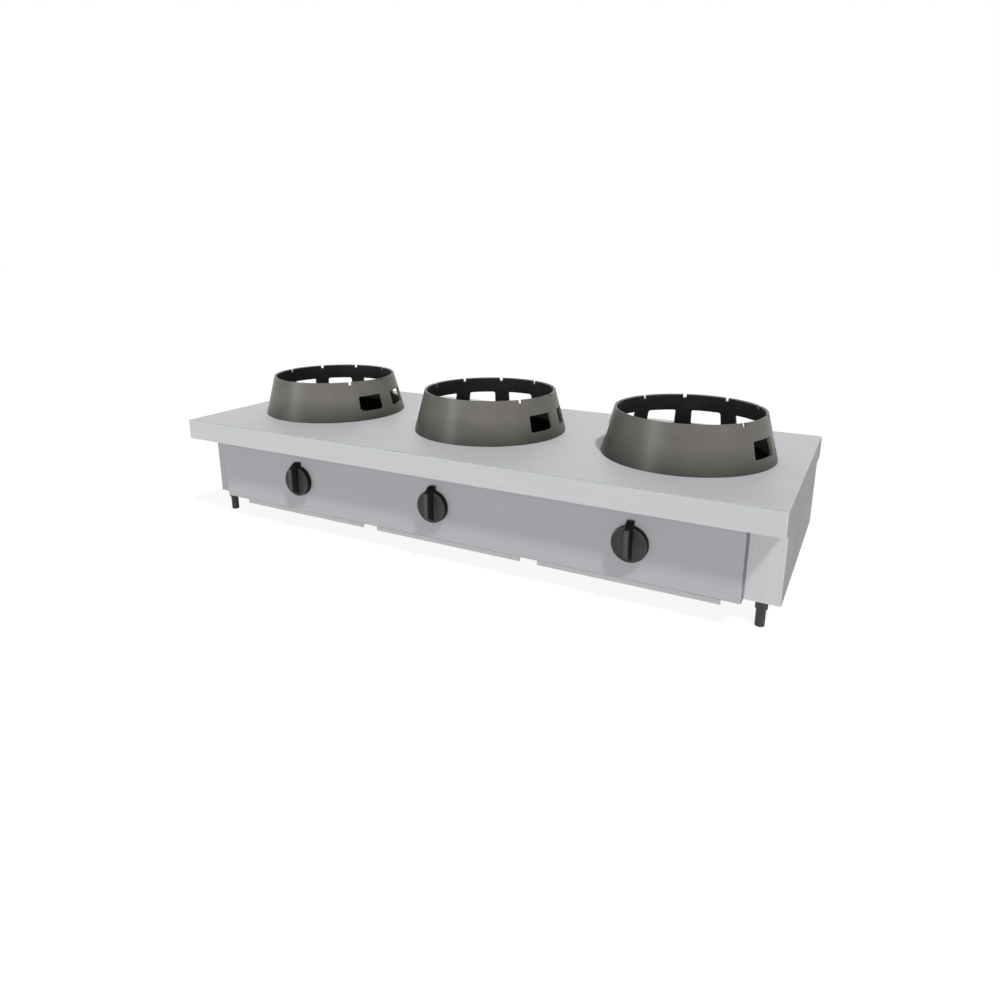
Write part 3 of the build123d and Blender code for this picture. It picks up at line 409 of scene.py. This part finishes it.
def makeRing(number, look=wokRing):
    low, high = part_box(f"wok_ring_{number}")
    centre = Vector(((low.x + high.x) / 2, (low.y + high.y) / 2, low.z))
    height = high.z - low.z
    baseRadius = (high.x - low.x) / 2
    slope = (look["rimRadius"] - baseRadius) / height
    notchFloor = height - look["notchDepth"]
    windowMiddle = (look["windowLow"] + look["windowHigh"]) / 2
    sector = math.tau / look["places"]
    windowAngle = 2 * math.asin(look["windowWidth"] / 2 / (baseRadius + slope * windowMiddle))
    notchAngle = 2 * math.asin(look["notchWidth"] / 2 / look["rimRadius"])
    postAngle = (sector - windowAngle - notchAngle) / 2
    bm = bmesh.new()
    levels = (0, look["windowLow"], look["windowHigh"], notchFloor, height)
    turned = profileEdges(bm, [centre + Vector((baseRadius + slope * z, 0, z)) for z in levels])
    # each place goes from the middle of one notch to the middle of the next
    halfNotch, post = (notchAngle / 2, look["notchSteps"]), (postAngle, look["postSteps"])
    place = (halfNotch, post, (windowAngle, look["windowSteps"]), post, halfNotch)
    for angle, steps in place * look["places"]:
        made = bmesh.ops.spin(bm, geom=turned, cent=centre, axis=(0, 0, 1), angle=angle, steps=steps,
                              use_merge=False, use_duplicate=False)
        turned = made["geom_last"]
    mergeDoubles(bm)

    # the places round the front have no windows, and no notches between them
    closedTo = sector * look["closedPlaces"] / 2
    plainTo = sector * (look["closedPlaces"] - 1) / 2
    openings = []
    for face in bm.faces:
        spot = face.calc_center_median() - centre
        angle = math.atan2(spot.y, spot.x) % math.tau
        fromNotch = min(angle % sector, sector - angle % sector)
        fromFront = abs((angle + math.pi / 2 + math.pi) % math.tau - math.pi)
        atWindows = look["windowLow"] < spot.z < look["windowHigh"]
        inWindow = atWindows and sector / 2 - fromNotch < windowAngle / 2
        inNotch = spot.z > notchFloor and fromNotch < notchAngle / 2
        if (inWindow and fromFront > closedTo) or (inNotch and fromFront > plainTo):
            openings.append(face)
    bmesh.ops.delete(bm, geom=openings, context="FACES")
    corners = []
    for vert in bm.verts:
        level = vert.co.z - centre.z
        fromEdge = min(abs(level - look["windowLow"]), abs(level - look["windowHigh"]))
        if vert.is_boundary and fromEdge < meshRules["levelTolerance"] and len(vert.link_faces) == 3:
            corners.append(vert)
    bmesh.ops.bevel(bm, geom=corners, offset=look["windowRound"], offset_type="OFFSET",
                    segments=look["roundSegments"], profile=0.5, affect="VERTICES", material=-1)
    bmesh.ops.recalc_face_normals(bm, faces=bm.faces)
    piece = keepPiece(f"wokRing{number}", bm, [ringIron, ringSoot], f"ring_{number}",
                      f"wok_ring_{number}")
    shell = piece.modifiers.new("wall", "SOLIDIFY")
    shell.thickness = look["wall"]
    shell.offset = -1
    shell.use_even_offset = True
    shell.material_offset = 1  # the inside is sooted
    softenEdges(piece, look["edge"])


for number in burners:
    makeRing(number)
print("wok rings made")


# knobs

knobLook = {"disc": 12.8 * mm, "rimRound": 2.5 * mm, "rimCut": 0.3, "rimFlat": 4 * mm, "dish": 0.8 * mm,
            "backRound": 1 * mm, "steps": 72, "gripFront": 10 * mm, "gripBase": 15 * mm, "gripUp": 37 * mm,
            "gripDown": 20 * mm, "gripFoot": 34 * mm, "gripSunk": 2 * mm, "pointerBack": 2 * mm,
            "edge": 1.4 * mm, "edgeSegments": 3}
# the knob faces that do not look forwards take the painted shade
faceMaterial, shadeMaterial, gripMaterial = 0, 1, 2  # the knob's material places
gripFacing, discFacing = 0.9, 0.6  # how squarely the front faces of the grip and the disc look forwards


def makeKnob(number, look=knobLook):
    low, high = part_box(f"knob_{number}")
    radius = (high.x - low.x) / 2
    axis = Vector(((low.x + high.x) / 2, high.y, low.z + radius))  # on the knob's rear face
    disc, rim, dish, back = look["disc"], look["rimRound"], look["dish"], look["backRound"]

    # grip: a bar across the disc, narrower in front, whose upper end slopes back to the pointer
    bm = bmesh.new()
    foot = axis.y - disc + look["gripSunk"]
    frontEnd = {"across": look["gripFront"] / 2, "y": low.y, "up": look["gripUp"], "down": look["gripDown"]}
    rearEnd = {"across": look["gripBase"] / 2, "y": foot, "up": high.z - axis.z, "down": look["gripFoot"]}
    for vert in bmesh.ops.create_cube(bm, size=1)["verts"]:
        end = frontEnd if vert.co.y < 0 else rearEnd
        across = math.copysign(end["across"], vert.co.x)
        up = end["up"] if vert.co.z > 0 else -end["down"]
        vert.co = (axis.x + across, end["y"], axis.z + up)
    rear = max(bm.faces, key=lambda face: face.calc_center_median().y)
    pointer = bmesh.ops.extrude_face_region(bm, geom=[rear])["geom"]
    pointer = [part for part in pointer if isinstance(part, bmesh.types.BMVert)]
    bmesh.ops.translate(bm, verts=pointer, vec=(0, axis.y - look["pointerBack"] - foot, 0))
    bmesh.ops.delete(bm, geom=[rear], context="FACES_ONLY")
    bmesh.ops.recalc_face_normals(bm, faces=bm.faces)
    for face in bm.faces:
        face.material_index = gripMaterial if face.normal.y < -gripFacing else shadeMaterial
    bmesh.ops.bevel(bm, geom=bm.edges, offset=look["edge"], segments=look["edgeSegments"], profile=0.5,
                    affect="EDGES", material=-1)

    # disc: a turned profile with a rounded rim and a shallow dish inside it
    gripFaces = set(bm.faces)
    cut = look["rimCut"] * rim
    flat = radius - rim - look["rimFlat"]
    profile = [(0, 0), (radius - back, 0), (radius, back), (radius, disc - rim), (radius - cut, disc - cut),
               (radius - rim, disc), (flat, disc), (flat - dish, disc - dish), (0, disc - dish)]
    turned = profileEdges(bm, [axis + Vector((r, -depth, 0)) for r, depth in profile])
    bmesh.ops.spin(bm, geom=turned, cent=axis, axis=(0, 1, 0), angle=math.tau, steps=look["steps"],
                   use_merge=True, use_duplicate=False)
    mergeDoubles(bm)
    discFaces = [face for face in bm.faces if face not in gripFaces]
    bmesh.ops.recalc_face_normals(bm, faces=discFaces)
    for face in discFaces:
        face.material_index = faceMaterial if face.normal.y < -discFacing else shadeMaterial
    keepPiece(f"controlKnob{number}", bm, [knobFace, knobShade, knobGrip], f"knob_{number}",
              f"knob_{number}")


for number in burners:
    makeKnob(number)
print("knobs made")


# floor, light and camera

# each lamp: the way to it, its level, its width in degrees, and whether it gives only colour or gloss
studio = {"floorHalf": 30, "floorWhite": 1.06, "shadowShare": 0.15, "ambient": 0.13,
          "key": ((0.46, -0.31, 0.83), 0.71, 5), "fill": ((0.26, -0.96, 0.08), 0.82, 22, "colour"),
          "sheen": ((-0.57, -0.74, 0.36), 0.6, 8, "gloss"), "back": ((-0.45, 0.87, 0.2), 0.45, 50, "colour")}
floorLook = {"light": "#8c8c8c", "roughness": (0.9, 0.9), "gloss": 0}  # as the object's light meets it
white = (1, 1, 1, 1)


def distantLamp(name, towards, level, spread, gives="all"):
    # level 1 shows a colour facing the lamp about as it is written
    lamp = bpy.data.lights.new(name, "SUN")
    lamp.energy = level * math.pi
    lamp.angle = math.radians(spread)
    holder = bpy.data.objects.new(name, lamp)
    holder.rotation_euler = Vector(towards).to_track_quat("Z", "Y").to_euler()
    holder.visible_diffuse = gives != "gloss"
    holder.visible_glossy = gives != "colour"
    scene.collection.objects.link(holder)


def seenDirectly(tree):
    # 1 for the camera, shiny surfaces and glass, 0 for the light that falls on the object
    path = addNode(tree, "ShaderNodeLightPath")
    seen = addNode(tree, "ShaderNodeMath", {"operation": "MAXIMUM"},
                   {0: path.outputs["Is Camera Ray"], 1: path.outputs["Is Glossy Ray"]})
    seen = addNode(tree, "ShaderNodeMath", {"operation": "MAXIMUM"},
                   {0: seen.outputs[0], 1: path.outputs["Is Transmission Ray"]})
    return seen.outputs[0]


def makeFloor(look=studio):
    bm = bmesh.new()
    bmesh.ops.create_grid(bm, x_segments=1, y_segments=1, size=look["floorHalf"])
    mesh = bpy.data.meshes.new("studioFloor")
    bm.to_mesh(mesh)
    bm.free()
    floor = bpy.data.objects.new("studioFloor", mesh)
    scene.collection.objects.link(floor)

    # it looks white with the object's shadow on it, and lights the object like a grey one; the
    # shadowed share is never quite white, which floorWhite makes up for
    material, tree, shader = newMaterial("paleFloor", floorLook)
    glow = addNode(tree, "ShaderNodeEmission", {"Color": white, "Strength": look["floorWhite"]})
    shadowed = addNode(tree, "ShaderNodeBsdfDiffuse", {"Color": white})
    shown = addNode(tree, "ShaderNodeMixShader", {0: look["shadowShare"]},
                    {1: glow.outputs[0], 2: shadowed.outputs[0]})
    mix = addNode(tree, "ShaderNodeMixShader", None,
                  {0: seenDirectly(tree), 1: shader.outputs["BSDF"], 2: shown.outputs[0]})
    tree.links.new(mix.outputs[0], tree.nodes["Material Output"].inputs["Surface"])
    mesh.materials.append(material)


def makeLight(look=studio):
    # the world is white to look at and grey as a light
    world = bpy.data.worlds.new("studioWorld")
    world.use_nodes = True
    scene.world = world
    tree = world.node_tree
    soft = tree.nodes["Background"]
    soft.inputs["Color"].default_value = (look["ambient"],) * 3 + (1,)
    bright = addNode(tree, "ShaderNodeBackground", {"Color": white})
    mix = addNode(tree, "ShaderNodeMixShader", None,
                  {0: seenDirectly(tree), 1: soft.outputs[0], 2: bright.outputs[0]})
    tree.links.new(mix.outputs[0], tree.nodes["World Output"].inputs["Surface"])
    for name in ("key", "fill", "sheen", "back"):
        distantLamp(f"{name}Lamp", *look[name])


makeFloor()
makeLight()

cameraLook = {"lens": 25.95, "sensor": 36, "nearest": 0.01, "place": (0.8590, -1.5562, 0.6965),
              "pitch": 74.4722, "yaw": 28.1086, "shiftY": -0.0469}
lens = bpy.data.cameras.new("photoCamera")
lens.lens = cameraLook["lens"]
lens.sensor_width = cameraLook["sensor"]
lens.shift_y = cameraLook["shiftY"]
lens.clip_start = cameraLook["nearest"]
camera = bpy.data.objects.new("photoCamera", lens)
camera.location = cameraLook["place"]
camera.rotation_euler = (math.radians(cameraLook["pitch"]), 0, math.radians(cameraLook["yaw"]))
scene.collection.objects.link(camera)
scene.camera = camera
scene.view_settings.view_transform = "Standard"
print("studio and camera made")
